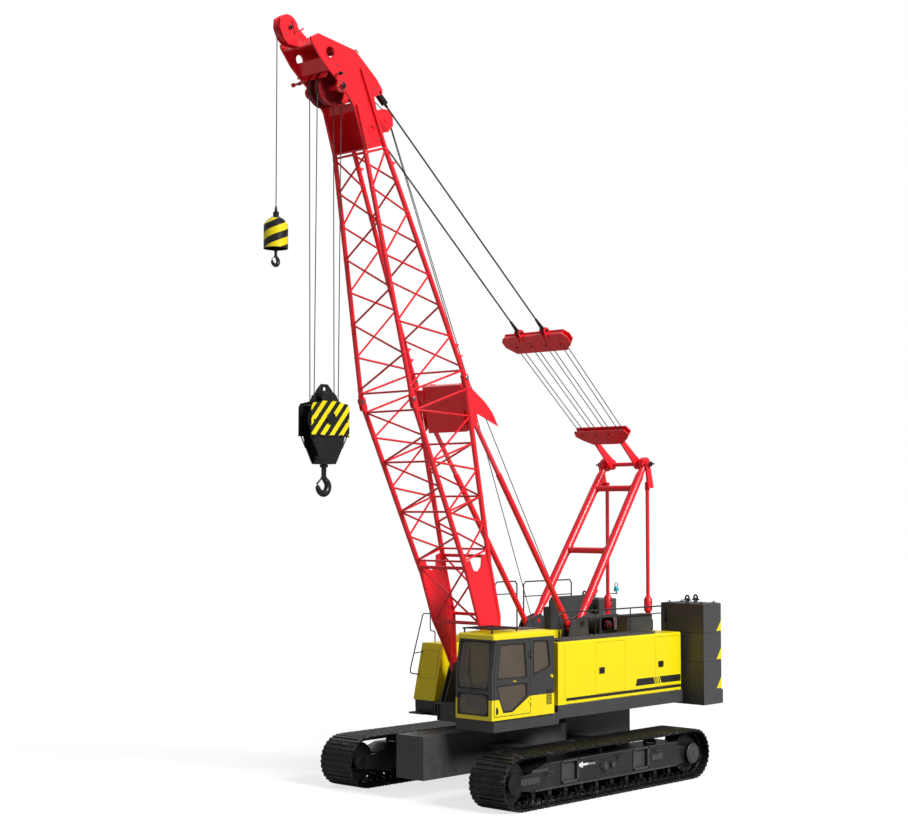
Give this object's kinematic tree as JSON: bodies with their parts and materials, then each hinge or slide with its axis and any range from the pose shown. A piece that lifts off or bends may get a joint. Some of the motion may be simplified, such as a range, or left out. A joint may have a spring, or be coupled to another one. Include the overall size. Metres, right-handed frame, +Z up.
{
  "type": "crawler crane",
  "caption": "Lattice boom crane on two crawler tracks, with side cab, engine hoods, stacked counterweight, gantry with luffing ropes, main hook block and small auxiliary hook.",
  "frame": {"origin": "on the slewing axis at ground level, midway between the tracks", "axes": "+X towards the boom, +Y towards the cab side, +Z up"},
  "size_m": [12.6097, 5.45, 16.1818],
  "materials": {
    "red": "satin paint",
    "yellow": "gloss paint",
    "dark_grey": "satin paint",
    "mid_grey": "satin paint",
    "track_steel": "oily black steel",
    "machine_black": "satin paint",
    "cab_glass": "tinted glass",
    "seat_fabric": "woven",
    "interior_plastic": "grained",
    "rope_steel": "greased wire rope",
    "engine_paint": "satin paint",
    "rod_chrome": "satin paint"
  },
  "bodies": {
    "undercarriage": {"carbody": "dark_grey", "slew_ring": "machine_black", "crawler_frame_left": "dark_grey", "crawler_frame_right": "dark_grey", "track_left": "track_steel", "track_right": "track_steel", "drive_sprockets": "dark_grey", "idler_wheels": "machine_black", "track_rollers": "machine_black"},
    "house": {"deck": "mid_grey", "cab_shell": "yellow", "cab_glass": "cab_glass", "cab_seat": "seat_fabric", "cab_controls": "interior_plastic", "hood_left": "yellow", "hood_right": "yellow", "front_box_right": "yellow", "front_plinth_right": "machine_black", "engine_block": "engine_paint", "air_box": "mid_grey", "walkway": "mid_grey", "handrails": "machine_black", "counterweight_tray": "mid_grey", "counterweight_blocks": "mid_grey", "winch_frames": "mid_grey", "gantry_legs": "red", "gantry_backstays": "red"},
    "cab_door": {"cab_door": "yellow", "cab_door_glass": "cab_glass"},
    "service_door_front_left": {"service_door_front_left": "yellow"},
    "service_door_rear_left": {"service_door_rear_left": "yellow"},
    "service_door_front_right": {"service_door_front_right": "yellow"},
    "service_door_rear_right": {"service_door_rear_right": "yellow"},
    "main_drum": {"main_drum": "red"},
    "aux_drum": {"aux_drum": "red"},
    "luffing_drum": {"luffing_drum": "red"},
    "boom": {"boom_lower": "red", "boom_upper": "red", "boom_head": "red"},
    "main_sheaves": {"main_sheaves": "machine_black"},
    "tip_sheave": {"tip_sheave": "red"},
    "guide_sheave": {"guide_sheave": "machine_black"},
    "bridle": {"lower_spreader": "red", "luffing_falls": "rope_steel"},
    "bridle_reach": {"upper_spreader": "red", "pendants": "rope_steel"},
    "backstop_tubes": {"backstop_tubes": "red"},
    "backstop_rods": {"backstop_rods": "rod_chrome"},
    "main_fall_line": {"main_falls": "rope_steel"},
    "main_block": {"main_block": "machine_black"},
    "main_hook": {"main_hook": "machine_black"},
    "aux_fall_line": {"aux_fall": "rope_steel"},
    "aux_ball": {"aux_ball": "machine_black"},
    "aux_hook": {"aux_hook": "machine_black"}
  },
  "joints": [
    {"name": "slew", "type": "hinge", "parent": "undercarriage", "child": "house", "pos_m": [0, 0, 1.435], "axis": [0, 0, 1], "continuous": true},
    {"name": "boom_luff", "type": "hinge", "parent": "house", "child": "boom", "pos_m": [1.478, 0, 2.607], "axis": [0, -1, 0], "range_deg": [-41.76, 8.24]},
    {"name": "bridle_swing", "type": "hinge", "parent": "house", "child": "bridle", "pos_m": [-3.984, 0, 7.298], "axis": [0, -1, 0], "range_deg": [-33.7, 6.9]},
    {"name": "bridle_payout", "type": "slide", "parent": "bridle", "child": "bridle_reach", "axis": [0.763, 0, 0.6464], "range_m": [-0.956, 4.759], "deforming": ["luffing_falls"]},
    {"name": "backstop_swing", "type": "hinge", "parent": "house", "child": "backstop_tubes", "pos_m": [-1.014, 0, 3.448], "axis": [0, -1, 0], "range_deg": [-33.7, 6.9]},
    {"name": "backstop_stroke", "type": "slide", "parent": "backstop_tubes", "child": "backstop_rods", "axis": [0.5764, 0, 0.8172], "range_m": [-0.35, 1.69]},
    {"name": "main_fall_swing", "type": "hinge", "parent": "boom", "child": "main_fall_line", "pos_m": [6.11585, 0, 14.83998], "axis": [0, -1, 0], "range_deg": [-8.54, 42.06]},
    {"name": "main_hoist", "type": "slide", "parent": "main_fall_line", "child": "main_block", "axis": [0, 0, -1], "range_m": [-3.7, 5], "deforming": ["main_falls"]},
    {"name": "main_hook_swivel", "type": "hinge", "parent": "main_block", "child": "main_hook", "pos_m": [6.11585, 0, 7.1], "axis": [0, 0, 1], "continuous": true},
    {"name": "aux_fall_swing", "type": "hinge", "parent": "boom", "child": "aux_fall_line", "pos_m": [7.19475, 0, 15.90579], "axis": [0, -1, 0], "range_deg": [-8.54, 42.06]},
    {"name": "aux_hoist", "type": "slide", "parent": "aux_fall_line", "child": "aux_ball", "axis": [0, 0, -1], "range_m": [-2.3, 9], "deforming": ["aux_fall"]},
    {"name": "aux_hook_swivel", "type": "hinge", "parent": "aux_ball", "child": "aux_hook", "pos_m": [7.44475, 0, 11.38], "axis": [0, 0, 1], "continuous": true},
    {"name": "main_drum_spin", "type": "hinge", "parent": "house", "child": "main_drum", "pos_m": [-0.56, 0, 2.48], "axis": [0, 1, 0], "continuous": true},
    {"name": "aux_drum_spin", "type": "hinge", "parent": "house", "child": "aux_drum", "pos_m": [-1.85, 0, 2.68], "axis": [0, 1, 0], "continuous": true},
    {"name": "luffing_drum_spin", "type": "hinge", "parent": "house", "child": "luffing_drum", "pos_m": [-2.76, 0, 3.42], "axis": [0, 1, 0], "continuous": true},
    {"name": "main_sheaves_spin", "type": "hinge", "parent": "boom", "child": "main_sheaves", "pos_m": [6.11585, 0, 14.83998], "axis": [0, 1, 0], "continuous": true},
    {"name": "tip_sheave_spin", "type": "hinge", "parent": "boom", "child": "tip_sheave", "pos_m": [7.19475, 0, 15.90579], "axis": [0, 1, 0], "continuous": true},
    {"name": "guide_sheave_spin", "type": "hinge", "parent": "boom", "child": "guide_sheave", "pos_m": [4.44263, 0, 14.47549], "axis": [0, 1, 0], "continuous": true},
    {"name": "cab_door_hinge", "type": "hinge", "parent": "house", "child": "cab_door", "pos_m": [1.727, 1.803, 1.9], "axis": [0, 0, 1], "range_deg": [0, 165]},
    {"name": "service_door_front_left_hinge", "type": "hinge", "parent": "house", "child": "service_door_front_left", "pos_m": [-1.68, 1.722, 2.05], "axis": [0, 0, 1], "range_deg": [0, 110]},
    {"name": "service_door_rear_left_hinge", "type": "hinge", "parent": "house", "child": "service_door_rear_left", "pos_m": [-3.79, 1.722, 2.05], "axis": [0, 0, 1], "range_deg": [0, 110]},
    {"name": "service_door_front_right_hinge", "type": "hinge", "parent": "house", "child": "service_door_front_right", "pos_m": [-1.68, -1.722, 2.05], "axis": [0, 0, -1], "range_deg": [0, 110]},
    {"name": "service_door_rear_right_hinge", "type": "hinge", "parent": "house", "child": "service_door_rear_right", "pos_m": [-3.79, -1.722, 2.05], "axis": [0, 0, -1], "range_deg": [0, 110]}
  ],
  "couplings": [
    {"joint": "bridle_swing", "follows": "boom_luff", "ratio": 0.8},
    {"joint": "bridle_payout", "follows": "boom_luff", "m_per_rad": -6.5031},
    {"joint": "backstop_swing", "follows": "boom_luff", "ratio": 0.8},
    {"joint": "backstop_stroke", "follows": "boom_luff", "m_per_rad": -2.2918},
    {"joint": "main_fall_swing", "follows": "boom_luff", "ratio": -1},
    {"joint": "aux_fall_swing", "follows": "boom_luff", "ratio": -1}
  ]
}
